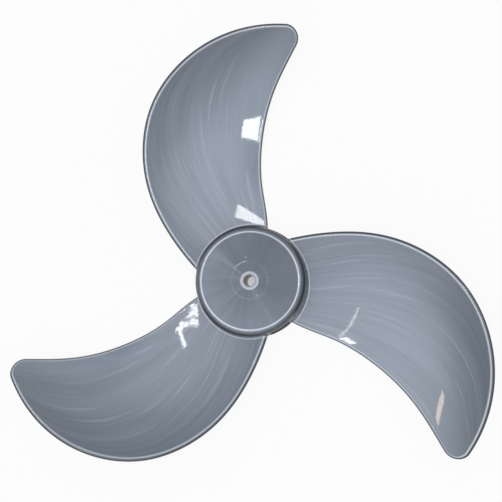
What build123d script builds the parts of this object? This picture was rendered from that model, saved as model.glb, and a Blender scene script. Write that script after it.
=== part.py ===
"""Three-blade axial fan impeller: a moulded hub and blades, a turned shaft bush and its grub screw.

Millimetres. The origin is on the hub's axis, in the plane of its rear rim, which the impeller rests on.
+Z runs along the axis to the front face, and +X points along the first blade. Seen from the front the
impeller turns clockwise, so each blade's concave edge leads and its convex edge trails.
"""
import os
from math import cos, radians, sin, tan

from build123d import *

# ---- driving dimensions -------------------------------------------------------------------------

TIP_RADIUS = 280.0  # swept radius of the blade tips
BLADE_COUNT = 3
BLADE_THICKNESS = 4.0
BLADE_EDGE_ROUND = 1.6  # rounding of the blade's edges, front and rear
EDGE_ROUND_LIMIT = 0.45  # the most of the blade's thickness that this rounding may take
TIP_CORNER_RADIUS = 14.0  # corner where the two long edges meet
ROOT_PITCH = 13.2  # slope of the blade across its width, in degrees, at the hub
TIP_PITCH = 14.0  # and at the tip
CAMBER = 0.0011  # the slope's growth towards the trailing edge: height = CAMBER x distance squared
ROOT_HEIGHT = 13.0  # height of the blade's centre line above the rear rim, at the hub
TIP_RAKE = 30.0  # how far the centre line leans forward of that at the tip
RAKE_POWER = 1.7  # 1 would be a straight lean, and more bends it towards the tip
TIP_SWEEP = 34.0  # how far the centre line is swept round at the tip, in degrees

HUB_RADIUS = 61.5  # skirt, at its rear rim
HUB_DEPTH = 36.0
HUB_DRAFT = 4.6  # taper of the skirt towards the front, in degrees
HUB_WALL = 3.0
RIM_RADIUS = 7.5  # rounded front rim
SEAT_RADIUS = 19.5  # raised ring round the bush, where a spinner or washer seats
SEAT_HEIGHT = 0.4

BOSS_WALL = 5.0
BOSS_SETBACK = 14.0  # rear end of the boss and its ribs above the rear rim: the bush is bare below it
RIB_COUNT = 6
RIB_START = 30.0  # direction of the first rib, in degrees from the first blade's
RIB_THICKNESS = 2.5

BORE_RADIUS = 6.0
BUSH_RADIUS = 10.0
BUSH_CHAMFER = 0.4
BUSH_GROOVES = 2  # grooves that the moulding locks into
BUSH_GROOVE_DEPTH = 1.0
BUSH_GROOVE_WIDTH = 3.0

SCREW_RADIUS = 3.0  # M6
SCREW_SOCKET = 3.0  # hexagon, across flats
HEXAGON = 6
SCREW_SOCKET_DEPTH = 3.0
SCREW_POINT_CLEARANCE = 0.3  # backed off from the bore
SCREW_HEIGHT = 7.0  # above the rear rim
SCREW_FIT = 0.02  # radial gap that stands for the thread's play
SCREW_LENGTH = 6.0
SCREW_CHAMFER = 0.5

# Long edges of a blade, from the hub to the tip corner: (share of the span, degrees round the axis).
TRAILING_EDGE = [
    (0.0, 47.5),
    (0.165, 31.7),
    (0.41, 17.7),
    (0.70, 0.1),
    (0.847, -12.6),
    (0.938, -23.6),
    (0.984, -32.0),
]
LEADING_EDGE = [(0.0, -46.1), (0.08, -41.4), (0.215, -35.8), (0.41, -34.2), (0.70, -37.2), (0.908, -41.1)]
TIP_CORNER = (1.01, -42.7)

# The blade's middle surface is worked out on a net of points that reaches past the blade on every side.
NET_POINTS = 13  # along the span and across the blade
NET_SPAN = (-0.08, 1.12)  # shares of the span at its two ends
NET_HALF_ANGLE = (60.0, 15.0)  # its reach each way from the centre line, in degrees, at its two ends

# ---- derived sizes ------------------------------------------------------------------------------

FRONT_RADIUS = HUB_RADIUS - HUB_DEPTH * tan(radians(HUB_DRAFT))
SPAN = TIP_RADIUS - HUB_RADIUS
BOSS_RADIUS = BUSH_RADIUS + BOSS_WALL
BUSH_LENGTH = HUB_DEPTH + SEAT_HEIGHT
SCREW_START = BORE_RADIUS + SCREW_POINT_CLEARANCE
BLADE_TAIL = HUB_RADIUS - FRONT_RADIUS + RIM_RADIUS  # how far a blade's edges run straight on into the hub


def radius_at(share):
    """Distance from the axis at a share of the blade's span."""
    return HUB_RADIUS + share * SPAN


def polar(radius, degrees):
    """Point in the plane of the rear rim."""
    return (radius * cos(radians(degrees)), radius * sin(radians(degrees)))


def groove_heights():
    """Rear edges of the grooves, which divide the bush's length inside the boss evenly."""
    step = (BUSH_LENGTH - BOSS_SETBACK) / (BUSH_GROOVES + 1)
    return [BOSS_SETBACK + step * (i + 1) - BUSH_GROOVE_WIDTH / 2 for i in range(BUSH_GROOVES)]


def blade_point(share, across):
    """Point of the blade's middle surface.

    across is the distance round the axis from the swept centre line, positive towards the trailing edge.
    The height is the raked centre line plus the pitch times that distance plus the camber times its square.
    """
    radius = radius_at(share)
    centre = -TIP_SWEEP * share**2
    pitch = tan(radians(ROOT_PITCH + share * (TIP_PITCH - ROOT_PITCH)))
    rake = TIP_RAKE * max(share, 0) ** RAKE_POWER
    height = ROOT_HEIGHT + rake + pitch * across + CAMBER * across**2
    x, y = polar(radius, centre + across / radians(1) / radius)
    return Vector(x, y, height)


def blade_surface():
    """Middle surface of a blade, a margin larger all round than the blade."""
    steps = [i / (NET_POINTS - 1) for i in range(NET_POINTS)]
    rows = []
    for along in steps:
        share = NET_SPAN[0] + along * (NET_SPAN[1] - NET_SPAN[0])
        half_angle = NET_HALF_ANGLE[0] + along * (NET_HALF_ANGLE[1] - NET_HALF_ANGLE[0])
        half_width = radians(half_angle) * radius_at(share)
        rows.append([blade_point(share, half_width * (2 * step - 1)) for step in steps])
    return Face.make_surface_from_array_of_points(rows, tol=0.01, min_deg=3, max_deg=5)


# ---- bush: outer form, then the finished piece ---------------------------------------------------

with BuildPart() as bush_blank:
    Cylinder(BUSH_RADIUS, BUSH_LENGTH, align=(Align.CENTER, Align.CENTER, Align.MIN))
    with BuildSketch(*[Plane.XY.offset(height) for height in groove_heights()]):
        Circle(BUSH_RADIUS)
        Circle(BUSH_RADIUS - BUSH_GROOVE_DEPTH, mode=Mode.SUBTRACT)
    extrude(amount=BUSH_GROOVE_WIDTH, mode=Mode.SUBTRACT)

with BuildPart() as shaft_bush:
    add(bush_blank.part)
    chamfer(shaft_bush.edges().group_by(Axis.Z)[0], BUSH_CHAMFER)
    with BuildSketch():
        Circle(BORE_RADIUS)
    extrude(amount=BUSH_LENGTH, mode=Mode.SUBTRACT)
    chamfer(shaft_bush.edges().group_by(Axis.Z)[-1].sort_by(SortBy.RADIUS)[0], BUSH_CHAMFER)
    with BuildSketch(Plane.YZ):
        with Locations((0, SCREW_HEIGHT)):
            Circle(SCREW_RADIUS + SCREW_FIT)
    extrude(amount=BUSH_RADIUS, mode=Mode.SUBTRACT)

# ---- grub screw in the bush's bare end -----------------------------------------------------------

with BuildPart() as set_screw:
    with BuildSketch(Plane.YZ.offset(SCREW_START)):
        with Locations((0, SCREW_HEIGHT)):
            Circle(SCREW_RADIUS)
    extrude(amount=SCREW_LENGTH)
    chamfer(set_screw.edges().filter_by(GeomType.CIRCLE), SCREW_CHAMFER)
    with BuildSketch(Plane.YZ.offset(SCREW_START + SCREW_LENGTH)):
        with Locations((0, SCREW_HEIGHT)):
            RegularPolygon(SCREW_SOCKET / 2, HEXAGON, major_radius=False)
    extrude(amount=-SCREW_SOCKET_DEPTH, mode=Mode.SUBTRACT)

# ---- one blade -----------------------------------------------------------------------------------

with BuildPart() as blade:
    thicken(blade_surface(), amount=BLADE_THICKNESS / 2, both=True)
    with BuildSketch() as outline:
        with BuildLine():
            corner = polar(radius_at(TIP_CORNER[0]), TIP_CORNER[1])
            trailing = Spline(*[polar(radius_at(share), angle) for share, angle in TRAILING_EDGE], corner)
            leading = Spline(*[polar(radius_at(share), angle) for share, angle in LEADING_EDGE], corner)
            inner = [edge @ 0 - (edge % 0) * BLADE_TAIL for edge in (trailing, leading)]
            Polyline(trailing @ 0, *inner, leading @ 0)
        make_face()
        fillet(outline.vertices().sort_by_distance(corner)[0], TIP_CORNER_RADIUS)
    extrude(amount=TIP_RADIUS, both=True, mode=Mode.INTERSECT)
    long_edges = blade.edges().filter_by(lambda edge: edge.length > 2 * BLADE_THICKNESS)
    long_edges = long_edges.filter_by(lambda edge: edge.center().X > HUB_RADIUS)
    fillet(long_edges, min(BLADE_EDGE_ROUND, EDGE_ROUND_LIMIT * BLADE_THICKNESS))

# ---- space behind the hub's face: the cup's inside, less the boss and its ribs --------------------

with BuildPart() as hollow:
    with BuildSketch(Plane.XZ) as hollow_section:
        with BuildLine():
            Polyline(
                (0, 0),
                (HUB_RADIUS - HUB_WALL, 0),
                (FRONT_RADIUS - HUB_WALL, HUB_DEPTH - HUB_WALL),
                (0, HUB_DEPTH - HUB_WALL),
                close=True,
            )
        make_face()
        front_corner = hollow_section.vertices().sort_by_distance((FRONT_RADIUS, HUB_DEPTH))[0]
        fillet(front_corner, RIM_RADIUS - HUB_WALL)
    revolve(axis=Axis.Z)
    with BuildSketch(Plane.XY.offset(BOSS_SETBACK)):
        Circle(BOSS_RADIUS)
        with PolarLocations(0, RIB_COUNT, start_angle=RIB_START):
            Rectangle(HUB_RADIUS, RIB_THICKNESS, align=(Align.MIN, Align.CENTER))
    extrude(amount=HUB_DEPTH, mode=Mode.SUBTRACT)

# ---- impeller: one moulding ----------------------------------------------------------------------

with BuildPart() as impeller:
    with BuildSketch(Plane.XZ) as hub_section:
        with BuildLine():
            Polyline((0, 0), (HUB_RADIUS, 0), (FRONT_RADIUS, HUB_DEPTH), (0, HUB_DEPTH), close=True)
        make_face()
        fillet(hub_section.vertices().sort_by_distance((FRONT_RADIUS, HUB_DEPTH))[0], RIM_RADIUS)
    revolve(axis=Axis.Z)
    with PolarLocations(0, BLADE_COUNT):
        add(blade.part)
    with BuildSketch(Plane.XY.offset(HUB_DEPTH)):
        Circle(SEAT_RADIUS)
    extrude(amount=SEAT_HEIGHT)
    add(hollow.part, mode=Mode.SUBTRACT)
    add(bush_blank.part, mode=Mode.SUBTRACT)

# ---- export --------------------------------------------------------------------------------------

os.makedirs("parts", exist_ok=True)
for name, piece in (("impeller", impeller), ("shaft_bush", shaft_bush), ("set_screw", set_screw)):
    piece.part.label = name
    export_step(piece.part, f"parts/{name}.step")
    print(name, round(piece.part.volume), "mm3, valid", piece.part.is_valid)
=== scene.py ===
# %% [markdown]
# # A three-blade fan impeller in pearl-grey plastic
# The real thing is one moulding: a cup-shaped hub and three swept blades, shot in plastic round a
# turned aluminium bush. A grub screw in the bush's bare end locks it on the motor shaft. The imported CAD
# model gives the sizes and the frame. Its hub and blades could be shown as they are, but gloss shows
# every facet, so they are made again here as fine, smooth surfaces.

import bpy
import bmesh
import numpy as np
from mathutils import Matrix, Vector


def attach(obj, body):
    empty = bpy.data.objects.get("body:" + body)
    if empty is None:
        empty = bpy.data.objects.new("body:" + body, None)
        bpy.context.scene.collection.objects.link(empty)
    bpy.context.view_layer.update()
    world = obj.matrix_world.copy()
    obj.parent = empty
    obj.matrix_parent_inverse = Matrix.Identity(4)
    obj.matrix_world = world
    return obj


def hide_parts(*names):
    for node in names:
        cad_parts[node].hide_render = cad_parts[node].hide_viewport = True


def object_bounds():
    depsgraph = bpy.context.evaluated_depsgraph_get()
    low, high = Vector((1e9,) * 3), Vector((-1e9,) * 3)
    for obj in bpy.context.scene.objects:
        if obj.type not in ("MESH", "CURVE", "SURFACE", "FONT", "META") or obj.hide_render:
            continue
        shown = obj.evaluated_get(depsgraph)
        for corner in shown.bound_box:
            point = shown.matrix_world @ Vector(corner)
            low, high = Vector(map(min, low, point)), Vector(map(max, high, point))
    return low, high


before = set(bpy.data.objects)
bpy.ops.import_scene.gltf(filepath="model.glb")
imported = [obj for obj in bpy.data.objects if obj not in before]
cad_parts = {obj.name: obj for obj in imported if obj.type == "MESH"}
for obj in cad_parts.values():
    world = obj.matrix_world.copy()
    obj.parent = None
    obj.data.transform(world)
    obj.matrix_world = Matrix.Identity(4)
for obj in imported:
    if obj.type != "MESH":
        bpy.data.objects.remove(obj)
cad_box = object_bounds()
MM = 0.001
cad_size = [round(side / MM, 1) for side in cad_box[1] - cad_box[0]]
print("CAD nodes:", sorted(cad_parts), "size in mm:", cad_size)

# %% [markdown]
# ## The camera
# The impeller lies on its back and the camera looks down on it, a few degrees off the axis, from the
# height of a tall tripod. A camera could be turned by angles, but a direction from the object to the
# camera says where it stands, and the three axes of its frame follow from that and from which way is up
# in the view.

# %% Camera
TARGET = np.array([1.7, 31.4, 36.0])  # the point that the camera looks at, in mm
CAMERA_DISTANCE = 700.0
CAMERA_LEAN = np.radians([6.53, -4.87])  # towards +X and +Y, from straight above
SENSOR, LENS = 36.0, 47.4  # width of the sensor and focal length, in mm


def unit(vector):
    """The vector divided by its own length."""
    vector = np.asarray(vector, float)
    return vector / np.linalg.norm(vector, axis=-1, keepdims=True)


def facing(towards, up=(0.0, 1.0, 0.0)):
    """Right, up and back axes, as columns, of something whose back is turned towards a direction."""
    back = unit(towards)
    right = unit(np.cross(up, back))
    return np.column_stack([right, np.cross(back, right), back])


def placed(obj, place, axes):
    """Puts a lamp or a camera at a place in mm, with those axes."""
    matrix = np.eye(4)
    matrix[:3, :3] = axes
    matrix[:3, 3] = np.asarray(place) * MM
    obj.matrix_world = matrix.T.tolist()
    bpy.context.scene.collection.objects.link(obj)
    return obj


lean_x, lean_y = np.sin(CAMERA_LEAN)
to_camera = np.array([lean_x, lean_y, np.sqrt(1 - lean_x**2 - lean_y**2)])
camera_data = bpy.data.cameras.new("camera")
camera_data.sensor_width = SENSOR
camera_data.lens = LENS
camera = bpy.data.objects.new("camera", camera_data)
camera_place = TARGET + CAMERA_DISTANCE * to_camera
placed(camera, camera_place, facing(to_camera))
bpy.context.scene.camera = camera
print("camera at", np.round(camera_place), "mm")

# %% [markdown]
# ## Sizes
# The same sizes as the CAD model's. Lengths are in millimetres and angles in degrees.

# %% Sizes of the hub and the blades
TIP_RADIUS = 280.0
BLADE_COUNT = 3
BLADE_THICKNESS = 4.0
TIP_CORNER_RADIUS = 14.0
ROOT_PITCH, TIP_PITCH = 13.2, 14.0
CAMBER = 0.0011  # height = CAMBER x distance squared
ROOT_HEIGHT = 13.0
TIP_RAKE, RAKE_POWER = 30.0, 1.7
TIP_SWEEP = 34.0
TRAILING_EDGE = np.array(  # share of the span, and degrees round the axis
    [(0, 47.5), (0.165, 31.7), (0.41, 17.7), (0.70, 0.1), (0.847, -12.6), (0.938, -23.6), (0.984, -32.0)]
)
LEADING_EDGE = np.array(
    [(0, -46.1), (0.08, -41.4), (0.215, -35.8), (0.41, -34.2), (0.70, -37.2), (0.908, -41.1)]
)
TIP_CORNER = (1.01, -42.7)

HUB_RADIUS, HUB_DEPTH, HUB_WALL = 61.5, 36.0, 3.0
DRAFT = np.tan(np.radians(4.6))
RIM_RADIUS = 7.5
SEAT_RADIUS, SEAT_HEIGHT = 19.5, 0.4
BUSH_RADIUS = 10.0
BOSS_RADIUS, BOSS_SETBACK = 15.0, 14.0
SCREW_RADIUS, SCREW_SOCKET, SCREW_SOCKET_DEPTH = 3.0, 3.0, 3.0
SCREW_START, SCREW_LENGTH, SCREW_HEIGHT, SCREW_CHAMFER = 6.3, 6.0, 7.0, 0.5
RIB_COUNT, RIB_START, RIB_THICKNESS = 6, 30.0, 2.5
SPAN = TIP_RADIUS - HUB_RADIUS
print(f"a blade spans {SPAN} mm, from the hub's rear rim to the circle that its tip runs on")

# %% [markdown]
# ## Meshes from grids of points
# Every new piece here is a grid of points worked out as one array: a surface as a function of two
# parameters, or a profile carried along a path. Faces join each point to its neighbours. Where a grid
# meets itself its points fall together, and they are merged, so the piece is one closed shell.

# %% From arrays to meshes
MERGE_DISTANCE = 0.002 * MM


def grid_faces(rows, columns):
    """Corner numbers of each face: a point, its neighbour in the row, and the same two one row on."""
    first = (np.arange(rows - 1)[:, None] * columns + np.arange(columns - 1)).ravel()
    return np.column_stack([first, first + 1, first + 1 + columns, first + columns])


def add_look(mesh, name, values):
    """Writes one number, or one vector, for each point of the mesh, for its material to read."""
    values = np.concatenate([grid.reshape(-1, *grid.shape[2:]) for grid in values]).astype(np.float32)
    kind, field = ("FLOAT_VECTOR", "vector") if values.ndim == 2 else ("FLOAT", "value")
    mesh.attributes.new(name, kind, "POINT").data.foreach_set(field, values.ravel())


def piece_from_grids(name, grids, looks=None):
    """One closed piece from grids of points in mm, merged where they meet, with its faces outwards.

    looks holds, under each attribute's name, its values on each of the grids.
    """
    corners, faces, count = [], [], 0
    for grid in grids:
        rows, columns = grid.shape[:2]
        faces.append(grid_faces(rows, columns) + count)
        corners.append(grid.reshape(-1, 3))
        count += rows * columns
    mesh = bpy.data.meshes.new(name)
    mesh.from_pydata(np.vstack(corners) * MM, [], np.vstack(faces))
    for look, values in (looks or {}).items():
        add_look(mesh, look, values)
    shell = bmesh.new()
    shell.from_mesh(mesh)
    bmesh.ops.remove_doubles(shell, verts=shell.verts, dist=MERGE_DISTANCE)
    bmesh.ops.dissolve_degenerate(shell, edges=shell.edges, dist=MERGE_DISTANCE / 2)
    bmesh.ops.recalc_face_normals(shell, faces=shell.faces)
    open_edges = sum(not edge.is_manifold for edge in shell.edges)
    shell.to_mesh(mesh)
    shell.free()
    mesh.shade_smooth()
    piece = bpy.data.objects.new(name, mesh)
    bpy.context.scene.collection.objects.link(piece)
    print(f"{name}: {len(mesh.polygons)} faces, {open_edges} open edges")
    return piece


# %% [markdown]
# ## The blade's outline
# Seen along the axis a blade is a crescent: a convex trailing edge, a concave leading edge and a
# rounded tip corner. Many short lines would show as kinks in the gloss, so both long edges are smooth
# curves through a few points. The corner is an arc that touches both, and its centre is where two lines
# cross, each running one corner radius inside its edge.

# %% Long edges and the tip corner
EDGE_SAMPLES = 1500


def plan(share, degrees):
    """Point seen along the axis, from its share of the blade's span and its direction."""
    radius = HUB_RADIUS + np.asarray(share) * SPAN
    angle = np.radians(degrees)
    return np.stack([radius * np.cos(angle), radius * np.sin(angle)], axis=-1)


def first_slope(points, joints):
    """Slope at the first point of the one cubic that runs through the first four."""
    powers = np.vander(joints[:4] - joints[0], 4, increasing=True)
    return np.linalg.solve(powers, points[:4])[1]


def smooth_curve(points, samples):
    """Smooth curve through the points: a cubic in each span, its slope and bend carried over each joint.

    The bends at the joints come from one set of linear equations. Each end slopes as the cubic through
    its four nearest points does.
    """
    gaps = np.linalg.norm(np.diff(points, axis=0), axis=1)
    joints = np.append(0.0, np.cumsum(gaps))
    chords = np.diff(points, axis=0) / gaps[:, None]
    ends = first_slope(points, joints), first_slope(points[::-1], joints[::-1])
    equations = np.diag(2 * (np.append(gaps, 0) + np.append(0, gaps)))
    equations += np.diag(gaps, 1) + np.diag(gaps, -1)
    bends = np.linalg.solve(equations, 6 * np.diff(np.vstack([ends[0], chords, ends[1]]), axis=0))
    place = np.linspace(0.0, joints[-1], samples)
    span = np.clip(np.searchsorted(joints, place, side="right") - 1, 0, len(points) - 2)
    gap = gaps[span][:, None]
    after, before = (place - joints[span])[:, None], (joints[span + 1] - place)[:, None]
    cubic = (bends[span] * before**3 + bends[span + 1] * after**3) / (6 * gap)
    start = (points[span] / gap - bends[span] * gap / 6) * before
    return cubic + start + (points[span + 1] / gap - bends[span + 1] * gap / 6) * after


def along(curve, places):
    """Points at distances along a curve; a distance below zero runs straight on before its start."""
    steps = np.linalg.norm(np.diff(curve, axis=0), axis=1)
    distance = np.append(0.0, np.cumsum(steps))
    found = np.column_stack([np.interp(places, distance, curve[:, axis]) for axis in (0, 1)])
    return found + unit(curve[1] - curve[0]) * np.minimum(places, 0.0)[:, None]


def sideways(curve, side):
    """Unit directions at right angles to a curve: side 1 is to its left and -1 to its right."""
    forward = unit(np.gradient(curve, axis=0))
    return side * np.column_stack([-forward[:, 1], forward[:, 0]])


corner = plan(*TIP_CORNER)
trailing = smooth_curve(np.vstack([plan(*TRAILING_EDGE.T), corner]), EDGE_SAMPLES)
leading = smooth_curve(np.vstack([plan(*LEADING_EDGE.T), corner]), EDGE_SAMPLES)
inside_trailing = trailing + TIP_CORNER_RADIUS * sideways(trailing, -1)
inside_leading = leading + TIP_CORNER_RADIUS * sideways(leading, 1)
apart = np.linalg.norm(inside_trailing[:, None] - inside_leading[None], axis=2)
apart[: EDGE_SAMPLES // 2] = np.inf  # they cross near the tip, not near the hub
touch_trailing, touch_leading = np.unravel_index(np.argmin(apart), apart.shape)
corner_centre = (inside_trailing[touch_trailing] + inside_leading[touch_leading]) / 2
trailing, leading = trailing[: touch_trailing + 1], leading[: touch_leading + 1]
print("tip corner centre", np.round(corner_centre, 1), "mm, found within", round(apart.min(), 2))

# %% [markdown]
# ## The blade's height
# A blade is pitched, cambered and raked. It could be bent flat with modifiers, but one formula in the
# plan view gives the height of its middle surface at once, and the slope of that height gives the
# direction that its thickness is laid off in.

# %% Middle surface of a blade
SLOPE_STEP = 0.05


def polar(points):
    """Distance from the axis, and direction round it, of points."""
    return np.hypot(points[..., 0], points[..., 1]), np.arctan2(points[..., 1], points[..., 0])


def blade_place(points):
    """Share of the span, and distance round the axis from the swept centre line, of points in plan."""
    radius, angle = polar(points)
    share = (radius - HUB_RADIUS) / SPAN
    from_centre = angle + np.radians(TIP_SWEEP) * share**2
    return share, from_centre * radius


def blade_height(points):
    """Raked centre line, plus the pitch times the distance across, plus the camber times its square."""
    share, across = blade_place(points)
    pitch = np.tan(np.radians(ROOT_PITCH + share * (TIP_PITCH - ROOT_PITCH)))
    rake = TIP_RAKE * np.maximum(share, 0) ** RAKE_POWER
    return ROOT_HEIGHT + rake + pitch * across + CAMBER * across**2


def blade_normal(points):
    """Direction straight out of the front face: minus the height's slope in X and Y, and one in Z."""
    step_x, step_y = np.array([SLOPE_STEP, 0.0]), np.array([0.0, SLOPE_STEP])
    slope_x = (blade_height(points + step_x) - blade_height(points - step_x)) / (2 * SLOPE_STEP)
    slope_y = (blade_height(points + step_y) - blade_height(points - step_y)) / (2 * SLOPE_STEP)
    return unit(np.stack([-slope_x, -slope_y, np.ones_like(slope_x)], axis=-1))


def skirt_radius(height, inset=0.0):
    """Radius of the hub's drafted skirt, or of a surface that runs inside it by a wall."""
    return HUB_RADIUS - inset - height * DRAFT


def past_skirt(points):
    """How far points of the blade's middle surface lie outside the hub's skirt."""
    return polar(points)[0] - skirt_radius(blade_height(points))


middle_height = blade_height(corner_centre)
print(f"the middle surface is {middle_height:.1f} mm above the floor at the tip corner's centre")

# %% [markdown]
# ## The blade's grid
# Rows of points could run straight across the blade, but then its rounded edge would be cut at a slant
# near the tip. So each row starts on the outline, crosses the rounded edge squarely, and ends on a
# spine in the middle. The rows go up the trailing edge, fan round the tip corner and come back down the
# leading edge. They bend round the axis, so the first and the last follow the hub and stay inside its
# wall.

# %% Rows from the outline to the spine
SIDE_ROWS, CORNER_ROWS, FACE_COLUMNS = 170, 26, 26
FIRST_STEP, LAST_STEP, STEP_GROWTH = 0.35, 2.0, 1.08  # the rows are closest at the root
FACE_POWER = 1.3  # above 1, the points of a row crowd towards the rounded edge
SPINE_POWER = 3  # how late the spine leaves the middle line for the tip corner's centre
FRONT_ROUND_WIDTH, FRONT_ROUND_DEPTH = 3.3, 2.6  # the front edge is rounded like a quarter of an ellipse
REAR_ROUND = 0.8
ROUND_STEPS = 9
OUTLINE_MARGIN = 0.2  # keeps the side walls inside the CAD model's box
ROOT_DEPTH = 0.6  # a blade starts this far under the skirt's face, inside the hub's wall


def side_places(edge):
    """Distances along a long edge, from just under the skirt's face to the tip corner."""
    steps = np.minimum(FIRST_STEP * STEP_GROWTH ** np.arange(SIDE_ROWS - 1), LAST_STEP)
    places = np.append(0.0, np.cumsum(steps)) / steps.sum()
    length = np.linalg.norm(np.diff(edge, axis=0), axis=1).sum()
    under_skirt = blade_height(edge[:1])[0] * DRAFT + ROOT_DEPTH
    outwards = unit(edge[1] - edge[0]) @ unit(edge[0])
    start = -under_skirt / outwards
    return start + places * (length - start)


def corner_arc(start, end):
    """Points round the tip corner, clockwise from the trailing edge to the leading edge."""
    first, last = (np.arctan2(*(point - corner_centre)[::-1]) for point in (start, end))
    last = last - 2 * np.pi if last > first else last
    angles = np.linspace(first, last, CORNER_ROWS + 2)[1:-1]
    return corner_centre + TIP_CORNER_RADIUS * np.column_stack([np.cos(angles), np.sin(angles)])


def rounded_columns():
    """Distances in from the outline across the rounded edge, evenly round the quarter ellipse."""
    return FRONT_ROUND_WIDTH * (1 - np.cos(np.linspace(0, np.pi / 2, ROUND_STEPS)))


def curved_rows(start, end, shares):
    """Points from start to end round the axis: both the radius and the direction change in step."""
    radius, angle = (first + (last - first) * shares for first, last in zip(polar(start), polar(end)))
    return np.stack([radius * np.cos(angle), radius * np.sin(angle)], axis=-1)


side_t = along(trailing, side_places(trailing))
side_l = along(leading, side_places(leading))
arc = corner_arc(side_t[-1], side_l[-1])
outline = np.vstack([side_t, arc, side_l[::-1]])
inward = sideways(outline, -1)
lean = np.maximum((blade_normal(outline)[:, :2] * inward).sum(axis=1), 0)  # of the side wall
margin = OUTLINE_MARGIN + (BLADE_THICKNESS / 2 - REAR_ROUND) * lean
outline = outline + inward * margin[:, None]

middle = (side_t + side_l) / 2
to_corner = (np.linspace(0, 1, SIDE_ROWS) ** SPINE_POWER)[:, None]
spine = middle + (corner_centre - middle[-1]) * to_corner
middle_radius = ((polar(side_t)[0] + polar(side_l)[0]) / 2)[:, None]
spine_radius = middle_radius + (polar(spine)[0][:, None] - middle_radius) * to_corner
spine = unit(spine) * spine_radius
spine = np.vstack([spine, np.repeat(spine[-1:], CORNER_ROWS, axis=0), spine[::-1]])

edge_band = outline[:, None] + inward[:, None] * rounded_columns()[None, :, None]
share_in = np.linspace(0, 1, FACE_COLUMNS + 1)[1:]
face_start = edge_band[:, -1:]
face_part = curved_rows(face_start, spine[:, None], share_in**FACE_POWER)
blade_plan = np.concatenate([edge_band, face_part], axis=1)
under_skirt = -past_skirt(blade_plan[[0, -1]])
print("blade grid:", blade_plan.shape[0], "rows of", blade_plan.shape[1], "points")
print(f"the root starts {under_skirt.min():.2f} to {under_skirt.max():.2f} mm under the skirt's face")

# %% [markdown]
# ## Thickness, rounded edges and the root
# The front face's edge is rounded widely and the rear one slightly, as a mould parts them. Where the
# blade meets the hub it swells by a quarter-circle fillet. Bevels could cut such rounds, but each of
# them is only an offset from the middle surface that depends on how far a point is from the outline or
# the hub.

# %% Offsets from the middle surface
ROOT_FILLET = 2.2


def round_off(distance, width, depth):
    """How far a face drops at a distance in from its edge: a quarter ellipse, that wide and deep."""
    share = np.clip(1 - distance / width, 0, 1)
    return depth * (1 - np.sqrt(1 - share**2))


def blade_grids():
    """The skin, from the spine over the edge to the spine at the rear, and the cap over its root.

    Near the hub both faces swell, by a quarter circle that ends upright against the hub's skirt.
    """
    inner = np.full(FACE_COLUMNS, FRONT_ROUND_WIDTH)
    distance = np.concatenate([rounded_columns(), inner])[None]
    height = blade_height(blade_plan)
    normal = blade_normal(blade_plan)
    swell = round_off(past_skirt(blade_plan), ROOT_FILLET, ROOT_FILLET)
    half = BLADE_THICKNESS / 2
    front = half - round_off(distance, FRONT_ROUND_WIDTH, FRONT_ROUND_DEPTH) + swell
    rear = half - round_off(distance, REAR_ROUND, REAR_ROUND) + swell
    flat = np.concatenate([blade_plan, height[..., None]], axis=-1)
    front_skin, rear_skin = flat + normal * front[..., None], flat - normal * rear[..., None]
    skin = np.concatenate([front_skin[:, ::-1], rear_skin], axis=1)
    root = [np.vstack([face[0], face[-1, ::-1][1:]]) for face in (front_skin, rear_skin)]
    return [skin, np.stack(root)]


def turned(grid, degrees):
    """The grid turned round the axis."""
    cosine, sine = np.cos(np.radians(degrees)), np.sin(np.radians(degrees))
    return grid @ np.array([[cosine, sine, 0.0], [-sine, cosine, 0.0], [0.0, 0.0, 1.0]])


# %% [markdown]
# ## What the plastic shows on a blade
# Pearl pigment is small flat flakes. They lie along the flow of the melt, so a large moulding shows thin
# light and dark streaks that fan out from the root and run out over the trailing edge. Round a tight edge
# the colour is darkened as painted shade, with a painted highlight line where the rounding starts, and
# towards the tip the colour darkens as painted shade too. All of this could be painted by hand, but it
# follows from the shape, so it is worked out as numbers on each point, and the material reads them as
# attributes.

# %% Flow, painted edge shade and painted highlight lines
FLOW_DRIFT = 1.6  # how strongly the streams crowd towards the trailing edge along the span
FLOW_LOOPS = (0.02, 0.3, 0.12)  # one for each blade: how far its streams turn back
LOOP_POWER = 8  # how close to the leading edge they do
LEAST_ANGLE = 0.02  # in radians, between the long edges where they meet at the tip
STREAM_WIDTH = 150.0  # of all the streams side by side
BLADE_STEP = 50.0  # from one blade's streaks to the next one's, so that no two are alike
# painted shade: the colour darkens towards the tip, between these shares of the span
TIP_SHADE, TIP_SHARES = 0.15, (0.6, 1.0)
HIGHLIGHT_INSET, HIGHLIGHT_WIDTH = 2.3, 0.38  # the painted highlight line, in from the outline
ROOT_HIGHLIGHT, ROOT_HIGHLIGHT_WIDTH = 0.7, 0.6  # the painted highlight round the root, against that along the edges
ROOT_FADE = (0.5, 2.0)  # out from the skirt, where the painted highlight lines begin
EDGE_FADE = (0.3, 2.0)  # in from the outline, where the painted shade at the edge ends
# strengths of the painted shade at the rounded edge and of the painted highlight lines
EDGE_SHADE, EDGE_HIGHLIGHT = 0.85, 0.9


def fade(value, start, end):
    """0 before start and 1 after end, with a smooth run between them."""
    share = np.clip((value - start) / (end - start), 0, 1)
    return share * share * (3 - 2 * share)


def bell(value, middle, width):
    """1 in the middle, falling away smoothly on both sides within about that width."""
    return np.exp(-(((value - middle) / width) ** 2))


def edge_angle(edge, radius):
    """Direction of a long edge from the axis, at each radius."""
    edge_radius, angle = polar(edge)
    return np.interp(radius, edge_radius, np.unwrap(angle))


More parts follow.
